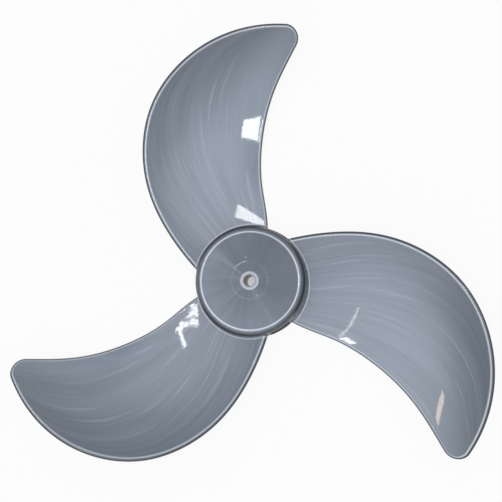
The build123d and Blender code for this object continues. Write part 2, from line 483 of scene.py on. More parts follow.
def blade_flow(points, number):
    """Place along and across the streams of melt, in mm, and a third number that tells the blades apart.

    The place across starts from the share of the width that is left up to the trailing edge. Its power
    falls from 1 at the root, so a line of equal value drifts to the trailing edge and runs along it. A
    high power, taken off it in step with the span, makes the lines by the leading edge turn back.
    """
    share, _ = blade_place(points)
    radius, angle = polar(points)
    start, end = edge_angle(leading, radius), edge_angle(trailing, radius)
    left = np.clip((end - angle) / np.maximum(end - start, LEAST_ANGLE), 0, 1)
    across = left ** (1 / (1 + FLOW_DRIFT * np.clip(share, 0, 1)))
    across = across - FLOW_LOOPS[number] * share * left**LOOP_POWER
    return np.stack([share * SPAN, across * STREAM_WIDTH, BLADE_STEP * number + 0 * share], axis=-1)


def blade_looks(number):
    """The attributes on the skin and on the cap of the root."""
    band = np.broadcast_to(rounded_columns(), (len(outline), ROUND_STEPS))
    inner = FRONT_ROUND_WIDTH + np.linalg.norm(face_part - face_start, axis=-1)
    distance = np.concatenate([band, inner], axis=1)
    away = past_skirt(blade_plan)
    # painted highlight lines along the edges and round the root
    root_highlight = ROOT_HIGHLIGHT * bell(away, ROOT_FILLET, ROOT_HIGHLIGHT_WIDTH)
    line = np.maximum(bell(distance, HIGHLIGHT_INSET, HIGHLIGHT_WIDTH), root_highlight) * fade(away, *ROOT_FADE)
    front = {
        # painted shade at the rounded edge, painted highlight lines, and painted shade towards the tip
        "bend": EDGE_SHADE * (1 - fade(distance, *EDGE_FADE)),
        "line": EDGE_HIGHLIGHT * line,
        "shade_and_welds": 1 - TIP_SHADE * fade(blade_place(blade_plan)[0], *TIP_SHARES),
        "flow": blade_flow(blade_plan, number),
    }
    looks = {}
    for name, value in front.items():
        cap = np.zeros((2, 2 * blade_plan.shape[1] - 1, *value.shape[2:]))
        rear = value if name in ("flow", "shade_and_welds") else 0 * value
        looks[name] = [np.concatenate([value[:, ::-1], rear], axis=1), cap]
    return looks


# %% Three blades
blades = []
for number in range(BLADE_COUNT):
    grids = [turned(grid, number * 360 / BLADE_COUNT) for grid in blade_grids()]
    blades.append(piece_from_grids(f"blade_{number + 1}", grids, blade_looks(number)))

# %% [markdown]
# ## The hub
# The hub is a cup with a rolled front rim, a raised seat round the bush and a boss behind it. All of
# that is one closed profile turned round the axis. A Screw modifier could turn it, but the profile as
# an array of points keeps every round exact and lets the rows be as fine as the gloss needs.

# %% Profiles
HUB_STEPS = 360


def arc_points(centre, radius, first, last, steps):
    """Points on a circle in the profile plane, from one angle to another in degrees."""
    angles = np.radians(np.linspace(first, last, steps))
    return np.asarray(centre) + radius * np.column_stack([np.cos(angles), np.sin(angles)])


def straight(start, end, steps):
    """Evenly spaced points from start to end."""
    return np.linspace(start, end, steps)


def turned_profile(profile, steps=HUB_STEPS):
    """A closed profile of (radius, height) points carried once round the axis."""
    angles = np.linspace(0, 2 * np.pi, steps + 1)[:, None]
    radius, height = np.vstack([profile, profile[:1]]).T
    return np.stack([radius * np.cos(angles), radius * np.sin(angles), height + 0 * angles], axis=-1)


# %% Profile of the hub
EDGE_EASE = 0.6  # the small roundings that a mould leaves on sharp edges
FLASH_RADIUS = 21.0  # a curl of flash beside the seat
draft_angle = np.degrees(np.arctan(DRAFT))
rim_height = HUB_DEPTH - RIM_RADIUS
rim_centre = skirt_radius(rim_height) - RIM_RADIUS / np.cos(np.radians(draft_angle))
wall_radius = HUB_RADIUS - HUB_WALL
inner_round = RIM_RADIUS - HUB_WALL
inner_height = HUB_DEPTH - HUB_WALL
inner_centre = skirt_radius(rim_height, HUB_WALL) - inner_round / np.cos(np.radians(draft_angle))
seat_top = HUB_DEPTH + SEAT_HEIGHT
seat_flat = SEAT_RADIUS - SEAT_HEIGHT
skirt_ends = rim_height - 1, 2  # heights near the rim and near the foot
outer_skirt = [(skirt_radius(height), height) for height in skirt_ends]
inner_skirt = [(skirt_radius(height, HUB_WALL), height) for height in skirt_ends[::-1]]
hub_profile = np.vstack(
    [  # from the bush over the rim to the foot and back inside; the last number counts the points
        straight((BUSH_RADIUS, seat_top), (seat_flat, seat_top), 14),
        arc_points((seat_flat, HUB_DEPTH), SEAT_HEIGHT, 80, 10, 5),
        straight((SEAT_RADIUS + 0.1, HUB_DEPTH), (FLASH_RADIUS + 1, HUB_DEPTH), 10),
        straight((FLASH_RADIUS + 1.5, HUB_DEPTH), (rim_centre - 0.5, HUB_DEPTH), 30),
        arc_points((rim_centre, rim_height), RIM_RADIUS, 90, draft_angle, 28),
        straight(*outer_skirt, 10),
        arc_points((HUB_RADIUS - EDGE_EASE, EDGE_EASE), EDGE_EASE, 0, -90, 5),
        arc_points((wall_radius + EDGE_EASE, EDGE_EASE), EDGE_EASE, -90, -180, 5),
        straight(*inner_skirt, 10),
        arc_points((inner_centre, rim_height), inner_round, draft_angle, 90, 10),
        straight((inner_centre - 1, inner_height), (BOSS_RADIUS + 1.5, inner_height), 8),
        arc_points((BOSS_RADIUS + 1, inner_height - 1), 1, 90, 180, 5),
        straight((BOSS_RADIUS, inner_height - 2), (BOSS_RADIUS, BOSS_SETBACK + 1), 5),
        arc_points((BOSS_RADIUS - EDGE_EASE, BOSS_SETBACK + EDGE_EASE), EDGE_EASE, 0, -90, 5),
        straight((BOSS_RADIUS - 1, BOSS_SETBACK), (BUSH_RADIUS, BOSS_SETBACK), 3),
    ]
)
print(f"hub profile: {len(hub_profile)} points, {2 * rim_centre:.1f} mm across where the rim begins")

# %% [markdown]
# ## What the front of the hub shows
# The melt comes in at the middle, so the streaks are rays. Three faint dark lines show where its fronts
# met. Over each rib the thick plastic has sunk a little, and each sink is also lightened as a painted
# highlight. The face has painted shade, darker in the middle and towards one side. The rolled rim and the
# skirt under it are darkened as painted shade, with a painted highlight where the rim starts. A curl of
# flash lies beside the seat, and two pips mark the ejectors; the flash, the seat's edge and the pips get
# painted highlights. Sinks and flash move the points themselves, because gloss shows a false shape at
# once, and the rest is numbers on the points, as on the blades.

# %% Marks on the hub's face
FACE_SLACK = 0.01  # points this far under the front face still belong to it
WELD_LINES = (57.0, 180.0, 300.0)
WELD_WIDTH, WELD_DARKENING = 0.7, 0.07
WELD_START = 4.0  # how far out from the seat they take to begin
WELD_FADE, WELD_LOSS = (35.0, 50.0), 0.5  # where they fade, and by how much
# the sinks are real dips, and each is also lightened as a painted highlight
SINK_RADIUS, SINK_SIZE, SINK_DEPTH, SINK_HIGHLIGHT = 45.0, 5.0, 0.05, 0.05
# painted shade, darker towards the middle of the face
MIDDLE_SHADE, MIDDLE_FADE = 0.08, (12.0, 48.0)
FRONT_SHADE = 0.8  # painted shade: the face a little darker than the blades
SHADE_SLOPE = np.array([-0.0024, -0.0019])  # per mm: painted shade, darker still towards one side
FLASH_ARC, FLASH_RUNS = (95.0, 150.0), (9.0, 25.0)  # where it lies, and how slowly each end begins
FLASH_HEIGHT, FLASH_WIDTH = 0.18, 0.4


def turn_from(angle, degrees):
    """Turn from a direction in degrees to an angle, the short way round."""
    return (angle - np.radians(degrees) + np.pi) % (2 * np.pi) - np.pi


def hub_front(grid):
    """Depth of the sinks and height of the flash, in mm, and the painted shade and highlights of the face
    with its weld lines.
    """
    radius, angle = polar(grid)
    is_front = grid[..., 2] > HUB_DEPTH - FACE_SLACK
    rib_turn = 360 / RIB_COUNT
    from_rib = (np.degrees(angle) - RIB_START + rib_turn / 2) % rib_turn - rib_turn / 2
    sink = bell(radius, SINK_RADIUS, SINK_SIZE) * bell(np.radians(from_rib) * radius, 0, SINK_SIZE)
    degrees = np.degrees(angle) % 360
    begins = fade(degrees, FLASH_ARC[0], FLASH_ARC[0] + FLASH_RUNS[0])
    ends = fade(degrees, FLASH_ARC[1] - FLASH_RUNS[1], FLASH_ARC[1])
    flash = bell(radius, FLASH_RADIUS, FLASH_WIDTH) * begins * (1 - ends)
    weld = sum(bell(turn_from(angle, line), 0, WELD_WIDTH / radius) for line in WELD_LINES)
    weld = weld * fade(radius, SEAT_RADIUS, SEAT_RADIUS + WELD_START)
    weld = weld * (1 - WELD_LOSS * fade(radius, *WELD_FADE))
    middle = MIDDLE_SHADE * (1 - fade(radius, *MIDDLE_FADE))
    # painted shade, and painted highlights over the sinks, with the real weld lines
    shade_and_welds = FRONT_SHADE + SINK_HIGHLIGHT * sink - WELD_DARKENING * weld - middle
    shade_and_welds = np.where(is_front, shade_and_welds + grid[..., :2] @ SHADE_SLOPE, 1)
    return np.where(is_front, flash * FLASH_HEIGHT - sink * SINK_DEPTH, 0), flash, shade_and_welds


# %% Rim, painted shade, painted highlights and pips
RAY_RADIUS = 9.0
RIM_SHADE, RIM_TILTS = 0.95, (5.0, 62.0)  # painted shade on the rim, growing between these tilts from straight up
SKIRT_LIGHTENING, SKIRT_FADE = 0.4, 20.0  # and the painted shade on the skirt under it lessens over that height
SKIN_DEPTH = 1.0  # the outer part of the wall, which those belong to
# painted highlight where the rim starts
RIM_HIGHLIGHT, RIM_HIGHLIGHT_TILT, RIM_HIGHLIGHT_WIDTH = 0.9, 2.5, 4.5
RIM_MARGIN = 3.0  # the painted highlight may begin this far in from the rim's round
# painted highlight on the flash
FLASH_HIGHLIGHT = 0.5
SEAT_LINE, SEAT_LINE_WIDTH = 0.14, 0.4  # the seat's edge catches a little light
# painted highlights mark the two ejector pips
PIPS, PIP_SIZE, PIP_HIGHLIGHT = [(-3.9, 24.9), (8.2, -15.7)], 0.8, 0.4


def hub_looks(grid, flash, shade_and_welds):
    """The attributes on the hub: rays for flow, and the rim's painted shade and painted highlight from
    its tilt.
    """
    radius, height = polar(grid)[0], grid[..., 2]
    on_rim = (radius > rim_centre - RIM_MARGIN) & (height > rim_height)
    tilt = np.degrees(np.arctan2(radius - rim_centre, height - rim_height))
    outside = (radius > rim_centre) & (radius > skirt_radius(height, SKIN_DEPTH))
    on_skirt = outside & (height <= rim_height)
    skirt_shade = RIM_SHADE - SKIRT_LIGHTENING * fade(rim_height - height, 0, SKIRT_FADE)
    # painted shade on the rim and the skirt
    bend = np.where(on_rim, RIM_SHADE * fade(tilt, *RIM_TILTS), np.where(on_skirt, skirt_shade, 0))
    on_face = height > HUB_DEPTH - 2 * SINK_DEPTH
    # painted highlights on the rim, the flash, the seat's edge and the pips
    line = np.where(on_rim, RIM_HIGHLIGHT * bell(tilt, RIM_HIGHLIGHT_TILT, RIM_HIGHLIGHT_WIDTH), FLASH_HIGHLIGHT * flash)
    line = line + SEAT_LINE * bell(radius, SEAT_RADIUS, SEAT_LINE_WIDTH) * on_face
    for pip in PIPS:
        line = line + PIP_HIGHLIGHT * bell(polar(grid[..., :2] - pip)[0], 0, PIP_SIZE) * on_face
    rays = grid[..., :2] / radius[..., None] * RAY_RADIUS
    flow = np.concatenate([radius[..., None], rays], axis=-1)
    return {"bend": [bend], "line": [np.clip(line, 0, 1)], "shade_and_welds": [shade_and_welds], "flow": [flow]}


# %% Hub
hub_grid = turned_profile(hub_profile)
rise, flash, shade_and_welds = hub_front(hub_grid)
hub_grid[..., 2] += rise
hub = piece_from_grids("hub_moulding", [hub_grid], hub_looks(hub_grid, flash, shade_and_welds))
print(f"hub: front face dips {-rise.min():.2f} mm and its flash stands {rise.max():.2f} mm proud")

# %% [markdown]
# ## The ribs
# Six ribs join the boss to the hub's wall behind the front face. They could be cubes with a Bevel, but
# each is a slab with a rounded rear edge, so its cross-section is carried straight outwards and closed
# at both ends, which are buried in the boss and the wall.

# %% Ribs
RIB_TOP = HUB_DEPTH - HUB_WALL / 2
RIB_BURIED = 1.0  # how deep a rib's inner end lies in the boss
rib_round = RIB_THICKNESS / 2
rib_section = np.vstack(
    [
        straight((-rib_round, RIB_TOP), (-rib_round, BOSS_SETBACK + rib_round), 5),
        arc_points((0, BOSS_SETBACK + rib_round), rib_round, 180, 360, 9)[1:-1],
        straight((rib_round, BOSS_SETBACK + rib_round), (rib_round, RIB_TOP), 5),
    ]
)
rib_section = np.vstack([rib_section, rib_section[:1]])


def rib_grids(degrees):
    """The section at both ends and along the way, each end drawn in to one point to close it.

    The outer end follows the middle of the hub's wall, the skirt's drafted line and the rim's arc.
    """
    middle = np.array([0.0, (RIB_TOP + BOSS_SETBACK) / 2])
    scale = np.array([0, 1, 1, 0])[:, None]  # closed inner end, section, section, closed outer end
    section = middle + (rib_section[None] - middle) * scale[..., None]
    above = np.maximum(section[..., 1] - rim_height, 0)
    in_rim = rim_centre + np.sqrt((RIM_RADIUS - HUB_WALL / 2) ** 2 - above**2)
    wall_middle = np.minimum(skirt_radius(section[..., 1], HUB_WALL / 2), in_rim)
    reach = np.where(np.arange(len(scale))[:, None] < 2, BOSS_RADIUS - RIB_BURIED, wall_middle)
    return turned(np.stack([reach, section[..., 0], section[..., 1]], axis=-1), degrees)


rib_list = [rib_grids(RIB_START + k * 360 / RIB_COUNT) for k in range(RIB_COUNT)]
rib_looks = {
    "bend": [np.zeros(grid.shape[:2]) for grid in rib_list],
    "line": [np.zeros(grid.shape[:2]) for grid in rib_list],
    "shade_and_welds": [np.ones(grid.shape[:2]) for grid in rib_list],
    "flow": rib_list,
}
ribs = piece_from_grids("hub_ribs", rib_list, rib_looks)

# %% [markdown]
# ## The grub screw
# An M6 grub screw with a hexagon socket sits in the bare end of the bush. Its thread could be faked in
# the material, but seen close it has to be cut. A thread is a helix: round the screw its height runs
# once through the pitch, so one wave of (distance / pitch - turn) cuts it. The grid goes from the
# point, over the thread and the chamfers, into the socket and to its middle.

# %% Screw
THREAD_PITCH, THREAD_DEPTH = 1.0, 0.6
SCREW_STEPS, THREAD_ROWS = 96, 84
CREST_SHARE = 0.12  # of each wave is flat at the crest, and as much at the root
DRILL_POINT = 0.5  # depth of the cone that the drill leaves in the socket's floor
HEXAGON_TURN = 60.0  # in degrees, from one side of the socket to the next


def thread_radius(distance, turn):
    """Crest radius less a triangle wave of the distance in pitches minus the turn, with blunt crests."""
    wave = np.abs(2 * ((distance / THREAD_PITCH - turn) % 1) - 1)
    end = SCREW_RADIUS - SCREW_CHAMFER + np.minimum(distance, SCREW_LENGTH - distance)
    cut = np.clip((wave - CREST_SHARE) / (1 - 2 * CREST_SHARE), 0, 1)
    return np.minimum(SCREW_RADIUS - THREAD_DEPTH * cut, end)


def hexagon_radius(turn):
    """Distance from the middle to a hexagon's side, half the width across flats over the cosine."""
    side = (turn * 360 + HEXAGON_TURN / 2) % HEXAGON_TURN - HEXAGON_TURN / 2
    return SCREW_SOCKET / 2 / np.cos(np.radians(side))


turn = np.linspace(0, 1, SCREW_STEPS + 1)[None]
travel = np.linspace(0, SCREW_LENGTH, THREAD_ROWS)[:, None]
hexagon = hexagon_radius(turn)
screw_radius = np.vstack([0 * turn, thread_radius(travel, turn), hexagon, hexagon, 0 * turn])
screw_floor = SCREW_LENGTH - SCREW_SOCKET_DEPTH
ends = [[0.0]], travel, [[SCREW_LENGTH], [screw_floor], [screw_floor - DRILL_POINT]]
screw_x = SCREW_START + np.vstack(ends) + 0 * turn
screw_angle = 2 * np.pi * turn
screw_y = screw_radius * np.cos(screw_angle)
screw_z = SCREW_HEIGHT + screw_radius * np.sin(screw_angle)
screw = piece_from_grids("grub_screw", [np.stack([screw_x, screw_y, screw_z], axis=-1)])

# %% [markdown]
# ## Helpers for materials
# Colours are written as sRGB hex values, and one function turns them to the linear values that shaders
# use. One more function adds a node, sets it up and links its inputs.

# %% Colour and node helpers


def linear(hex_colour):
    """Linear colour from an sRGB hex value, by the sRGB standard's formula for each channel."""
    channels = np.array([int(hex_colour[start : start + 2], 16) for start in (1, 3, 5)]) / 255
    low, high = channels / 12.92, ((channels + 0.055) / 1.055) ** 2.4
    return (*np.where(channels <= 0.04045, low, high).tolist(), 1.0)


def add_node(tree, kind, settings=None, inputs=None):
    """A node with its settings, and its inputs: each a plain value, or another node's output to link."""
    node = tree.nodes.new(kind)
    for name, value in (settings or {}).items():
        setattr(node, name, value)
    for name, value in (inputs or {}).items():
        if isinstance(value, bpy.types.NodeSocket):
            tree.links.new(value, node.inputs[name])
        else:
            node.inputs[name].default_value = value
    return node


def new_material(name):
    """An empty node material and its output."""
    material = bpy.data.materials.new(name)
    material.use_nodes = True
    material.node_tree.nodes.clear()
    return material, material.node_tree, add_node(material.node_tree, "ShaderNodeOutputMaterial")


print("a middle grey, #808080, reflects", round(linear("#808080")[0], 2), "of the light")

# %% [markdown]
# ## Pearl-grey plastic
# The moulding is ABS with a pearl pigment, shot in a polished mould. The flakes reflect like rough
# metal, and the clear plastic over them is a glossy coat with the plastic's own reflection. One even
# grey would look like paint. So the base colour follows the streaks of the flow and the attributes of
# each piece, and the streaks stand a hair's breadth proud, which makes the mirror image of a lamp
# waver.

# %% Streaks and flakes
FINE_STREAK = (70.0, 1.3)  # length and spacing in mm
BROAD_STREAK = (120.0, 11.0)
WISP_STREAK = (110.0, 3.6)  # a few lighter streams stand out
STREAK_WANDER = 0.25
BROAD_SHARE = 0.62  # of the broad streaks against the fine ones
WISP_RANGE, WISP_STRENGTH = (0.55, 0.78), 0.38
FLAKE_SPACING = 0.9  # real flakes are a tenth of that, and drawn this coarse they just show
FLAKE_SHARE = 0.12
STREAK_RANGE = (0.26, 0.74)  # of the noise, between the darkest plastic and the lightest

plastic, tree, output = new_material("pearl_abs_plastic")
place = add_node(tree, "ShaderNodeTexCoord").outputs["Object"]
flow, shade_and_welds_in, edge_shade_in, highlight_in = (
    add_node(tree, "ShaderNodeAttribute", {"attribute_name": name}).outputs
    for name in ("flow", "shade_and_welds", "bend", "line")
)


def streaks(length, spacing, detail):
    """Noise drawn out along the flow."""
    scale = (1 / length, 1 / spacing, 1 / spacing)
    drawn = add_node(
        tree, "ShaderNodeVectorMath", {"operation": "MULTIPLY"}, {0: flow["Vector"], 1: scale}
    ).outputs[0]
    inputs = {"Vector": drawn, "Scale": 1.0, "Detail": detail, "Distortion": STREAK_WANDER}
    return add_node(tree, "ShaderNodeTexNoise", inputs=inputs).outputs["Fac"]


fine, broad = streaks(*FINE_STREAK, 2.0), streaks(*BROAD_STREAK, 3.0)
both = add_node(tree, "ShaderNodeMix", inputs={"Factor": BROAD_SHARE, "A": fine, "B": broad}).outputs[0]
wisps = add_node(
    tree,
    "ShaderNodeMapRange",
    {"interpolation_type": "SMOOTHSTEP"},
    {
        "Value": streaks(*WISP_STREAK, 2.0),
        "From Min": WISP_RANGE[0],
        "From Max": WISP_RANGE[1],
        "To Max": WISP_STRENGTH,
    },
).outputs[0]
inputs = {"Vector": place, "Scale": 1 / (FLAKE_SPACING * MM), "Detail": 1.0}
flakes = add_node(tree, "ShaderNodeTexNoise", inputs=inputs).outputs["Fac"]
speckled = add_node(tree, "ShaderNodeMix", inputs={"Factor": FLAKE_SHARE, "A": both, "B": flakes})
spread = add_node(
    tree,
    "ShaderNodeMapRange",
    inputs={"Value": speckled.outputs[0], "From Min": STREAK_RANGE[0], "From Max": STREAK_RANGE[1]},
).outputs[0]
print("streaks:", len(tree.nodes), "nodes so far")

# %% Colour of the plastic
PLASTIC_DARK, PLASTIC_LIGHT, PLASTIC_WISP = "#717b86", "#8b95a2", "#b0bcca"
# colours of the painted shade at edges and rim, and of the painted highlights
SHADE_COLOUR, HIGHLIGHT_COLOUR = "#1d1d20", "#e4eaf3"
MIX_COLOURS = {"data_type": "RGBA"}

colour = linear(PLASTIC_DARK)
for share, layer in [(spread, PLASTIC_LIGHT), (wisps, PLASTIC_WISP)]:
    inputs = {"Factor": share, "A": colour, "B": linear(layer)}
    colour = add_node(tree, "ShaderNodeMix", MIX_COLOURS, inputs).outputs["Result"]
# painted shade on the face and towards the tips, with the real weld lines, scales the colour
inputs = {0: colour, "Scale": shade_and_welds_in["Fac"]}
colour = add_node(tree, "ShaderNodeVectorMath", {"operation": "SCALE"}, inputs).outputs[0]
# then painted shade at edges and rim, and painted highlights
for share, layer in [(edge_shade_in["Fac"], SHADE_COLOUR), (highlight_in["Fac"], HIGHLIGHT_COLOUR)]:
    inputs = {"Factor": share, "A": colour, "B": linear(layer)}
    colour = add_node(tree, "ShaderNodeMix", MIX_COLOURS, inputs).outputs["Result"]
print("colour of the plastic:", len(tree.nodes), "nodes so far")

# %% Surface of the plastic
PEEL_SPACING = 7.0  # the slow waves of a moulded surface
PEEL_SHARE = 0.5  # against the waves of the broad streaks
WAVE_DEPTH = 0.018
FLAKE_METALLIC = 0.6
FLAKE_ROUGHNESS = (0.32, 0.42)
COAT_ROUGHNESS = 0.03  # a polished mould

inputs = {"Vector": place, "Scale": 1 / (PEEL_SPACING * MM), "Detail": 1.0}
peel = add_node(tree, "ShaderNodeTexNoise", inputs=inputs).outputs["Fac"]
relief = add_node(tree, "ShaderNodeMix", inputs={"Factor": PEEL_SHARE, "A": broad, "B": peel})
inputs = {"Height": relief.outputs[0], "Distance": WAVE_DEPTH * MM, "Strength": 1.0}
bump = add_node(tree, "ShaderNodeBump", inputs=inputs).outputs[0]
roughness = add_node(
    tree,
    "ShaderNodeMapRange",
    inputs={"Value": both, "To Min": FLAKE_ROUGHNESS[0], "To Max": FLAKE_ROUGHNESS[1]},
)
shader = add_node(
    tree,
    "ShaderNodeBsdfPrincipled",
    inputs={
        "Base Color": colour,
        "Metallic": FLAKE_METALLIC,
        "Roughness": roughness.outputs[0],
        "Coat Weight": 1.0,
        "Coat Roughness": COAT_ROUGHNESS,
        "Normal": bump,
        "Coat Normal": bump,
    },
)
tree.links.new(shader.outputs[0], output.inputs["Surface"])
print(plastic.name, "has", len(tree.nodes), "nodes")

# %% [markdown]
# ## Turned aluminium
# The bush is turned from bar, and the tool leaves rings: fine grooves round the axis, which catch light
# and shade by turns. Rings could be modelled, but they are finer than a hair. Noise that reads only the
# radius and the height is the same all the way round, so it draws them on the end face and on the
# sides.

# %% Rings and bore
RING_SPACING = 1.2  # the real feed is a tenth of that, too fine to show
RING_DARK, RING_LIGHT = "#8c97a6", "#f6f9fd"
RING_DEPTH, RING_ROUGHNESS = 0.02, (0.18, 0.36)
BORE_EDGE, BORE_FADE = 6.02, 0.1  # inside this radius is the bore, which is given a darker grey and a rougher finish
BORE_GREY, BORE_ROUGHNESS = "#76726b", 0.5

aluminium, tree, output = new_material("turned_aluminium")
place = add_node(tree, "ShaderNodeTexCoord").outputs["Object"]
x, y, z = add_node(tree, "ShaderNodeSeparateXYZ", inputs={0: place}).outputs
flat = add_node(tree, "ShaderNodeCombineXYZ", inputs={"X": x, "Y": y}).outputs[0]
radius = add_node(tree, "ShaderNodeVectorMath", {"operation": "LENGTH"}, {0: flat}).outputs["Value"]
lathe = add_node(tree, "ShaderNodeCombineXYZ", inputs={"X": radius, "Y": z}).outputs[0]
inputs = {"Vector": lathe, "Scale": 1 / (RING_SPACING * MM), "Detail": 1.0}
rings = add_node(tree, "ShaderNodeTexNoise", inputs=inputs).outputs["Fac"]
outside_bore = add_node(
    tree,
    "ShaderNodeMapRange",
    inputs={"Value": radius, "From Min": BORE_EDGE * MM, "From Max": (BORE_EDGE + BORE_FADE) * MM},
).outputs[0]
inputs = {"Factor": rings, "A": linear(RING_DARK), "B": linear(RING_LIGHT)}
shine = add_node(tree, "ShaderNodeMix", MIX_COLOURS, inputs).outputs["Result"]
inputs = {"Factor": outside_bore, "A": linear(BORE_GREY), "B": shine}
metal = add_node(tree, "ShaderNodeMix", MIX_COLOURS, inputs).outputs["Result"]
print("rings and bore:", len(tree.nodes), "nodes so far")

# %% Turned aluminium
dullness = add_node(
    tree,
    "ShaderNodeMapRange",
    inputs={"Value": rings, "To Min": RING_ROUGHNESS[0], "To Max": RING_ROUGHNESS[1]},
).outputs[0]
inputs = {0: BORE_ROUGHNESS, 1: outside_bore}
in_bore = add_node(tree, "ShaderNodeMath", {"operation": "SUBTRACT"}, inputs).outputs[0]
inputs = {0: dullness, 1: in_bore}
with_rough_bore = add_node(tree, "ShaderNodeMath", {"operation": "MAXIMUM"}, inputs).outputs[0]
bump = add_node(tree, "ShaderNodeBump", inputs={"Height": rings, "Distance": RING_DEPTH * MM}).outputs[0]
inputs = {"Base Color": metal, "Metallic": 1.0, "Roughness": with_rough_bore, "Normal": bump}
shader = add_node(tree, "ShaderNodeBsdfPrincipled", inputs=inputs)
tree.links.new(shader.outputs[0], output.inputs["Surface"])
print(aluminium.name, "has", len(tree.nodes), "nodes")

# %% [markdown]
# ## Black-oxide steel
# Grub screws are hardened steel, blackened in a hot bath and oiled. Black paint would be even and would
# hide the metal. The oxide is thin, so it still reflects like metal, but dark and uneven: noise mixes
# two dark tones and two roughnesses.

# %% Black-oxide steel
OXIDE_SPACING = 0.8
OXIDE_DARK, OXIDE_LIGHT = "#2b2b2e", "#55555a"
OXIDE_ROUGHNESS = (0.3, 0.5)

black_steel, tree, output = new_material("black_oxide_steel")
place = add_node(tree, "ShaderNodeTexCoord").outputs["Object"]
inputs = {"Vector": place, "Scale": 1 / (OXIDE_SPACING * MM), "Detail": 3.0}
oxide = add_node(tree, "ShaderNodeTexNoise", inputs=inputs).outputs["Fac"]
inputs = {"Factor": oxide, "A": linear(OXIDE_DARK), "B": linear(OXIDE_LIGHT)}
blotches = add_node(tree, "ShaderNodeMix", MIX_COLOURS, inputs).outputs["Result"]
dullness = add_node(
    tree,
    "ShaderNodeMapRange",
    inputs={"Value": oxide, "To Min": OXIDE_ROUGHNESS[0], "To Max": OXIDE_ROUGHNESS[1]},
).outputs[0]
inputs = {"Base Color": blotches, "Metallic": 1.0, "Roughness": dullness}
shader = add_node(tree, "ShaderNodeBsdfPrincipled", inputs=inputs)
tree.links.new(shader.outputs[0], output.inputs["Surface"])
print(black_steel.name, "has", len(tree.nodes), "nodes")

# %% [markdown]
# ## Into the frame
# The impeller is one moulding in the CAD model. Its hub, ribs and blades are separate closed shells
# here, and together they stand for that one node. The screw replaces its plain solid, and the bush
# stays.

# %% Pieces join the frame
for piece in [hub, ribs, *blades]:
    piece.data.materials.append(plastic)
    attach(piece, "root")
    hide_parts("impeller")
screw.data.materials.append(black_steel)
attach(screw, "root")
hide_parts("set_screw")
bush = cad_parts["shaft_bush"]
bush.data.materials.clear()
bush.data.materials.append(aluminium)
print("in the frame:", [piece.name for piece in [hub, ribs, *blades, screw, bush]])

# %% [markdown]
# ## The floor
# A sheet of white paper, which the camera and mirror images see as plain white while it still takes the
# object's faint shadow. Under the hub little light gets in, so less of it is plain white there. The
# glossy skirt mirrors the paper at its foot, where the hub and the blades keep the light off, so
# between the blades' roots those rays meet a grey. A darker floor would do that too, but it would grey
# the whole background. The underside is clear, so that the impeller can be seen from below.

# %% Floor
FLOOR_HALF = 12.0
floor_corners = FLOOR_HALF * np.array([(-1, -1, 0), (1, -1, 0), (1, 1, 0), (-1, 1, 0)])
floor_mesh = bpy.data.meshes.new("floor")
floor_mesh.from_pydata(floor_corners, [], [(0, 1, 2, 3)])
floor = bpy.data.objects.new("floor", floor_mesh)
bpy.context.scene.collection.objects.link(floor)
print(f"floor: {2 * FLOOR_HALF:.0f} m square")

# %% How much of the paper is plain white
PAPER_GLOW = 0.9  # the share of its brightness that no shadow reaches
SHADE_GLOW = 0.5  # and that share under the hub
BLADE_GAP = 60.7  # direction of the middle of the gap between two blades' roots
GAP_WAVE = (0.55, 0.85)  # a wave round the axis peaks in each gap: the shade begins and is full at these
FOOT_WIDTH = 11.0  # of the even shade round the foot of the hub, and of the run out of it

paper, tree, output = new_material("white_paper")
rays = add_node(tree, "ShaderNodeLightPath").outputs
place = add_node(tree, "ShaderNodeTexCoord").outputs["Object"]
from_axis = add_node(tree, "ShaderNodeVectorMath", {"operation": "LENGTH"}, {0: place}).outputs["Value"]


def by_distance(start, end, near, far):
    """A level that is near up to the first distance from the axis, in mm, and far from the second on."""
    ends = {"From Min": start * MM, "From Max": end * MM, "To Min": near, "To Max": far}
    return add_node(tree, "ShaderNodeMapRange", inputs={"Value": from_axis, **ends}).outputs[0]


inputs = {0: rays["Is Glossy Ray"], 1: rays["Is Transmission Ray"]}
mirrored = add_node(tree, "ShaderNodeMath", {"operation": "MAXIMUM"}, inputs).outputs[0]
x, y, z = add_node(tree, "ShaderNodeSeparateXYZ", inputs={0: place}).outputs
wave = add_node(tree, "ShaderNodeMath", {"operation": "ARCTAN2"}, {0: y, 1: x}).outputs[0]
to_wave = [("SUBTRACT", np.radians(BLADE_GAP)), ("MULTIPLY", BLADE_COUNT), ("COSINE", 0.0)]
for operation, value in to_wave:
    wave = add_node(tree, "ShaderNodeMath", {"operation": operation}, {0: wave, 1: value}).outputs[0]
inputs = {"Value": wave, "From Min": GAP_WAVE[0], "From Max": GAP_WAVE[1]}
in_gap = add_node(tree, "ShaderNodeMapRange", inputs=inputs).outputs[0]
past_wall = by_distance(HUB_RADIUS - HUB_WALL, HUB_RADIUS, 0.0, 1.0)
foot_shade = by_distance(HUB_RADIUS + FOOT_WIDTH, HUB_RADIUS + 2 * FOOT_WIDTH, 1.0, 0.0)
for level in (past_wall, in_gap, mirrored):
    inputs = {0: foot_shade, 1: level}
    foot_shade = add_node(tree, "ShaderNodeMath", {"operation": "MULTIPLY"}, inputs).outputs[0]
inputs = {0: mirrored, 1: foot_shade}
outside_foot = add_node(tree, "ShaderNodeMath", {"operation": "SUBTRACT"}, inputs).outputs[0]
seen_glow = by_distance(BOSS_RADIUS, HUB_RADIUS - HUB_WALL, SHADE_GLOW, PAPER_GLOW)
share = 0.0
for level, strength in [(rays["Is Camera Ray"], seen_glow), (outside_foot, PAPER_GLOW)]:
    inputs = {0: level, 1: strength, 2: share}
    share = add_node(tree, "ShaderNodeMath", {"operation": "MULTIPLY_ADD"}, inputs).outputs[0]
print("plain white share:", len(tree.nodes), "nodes so far")

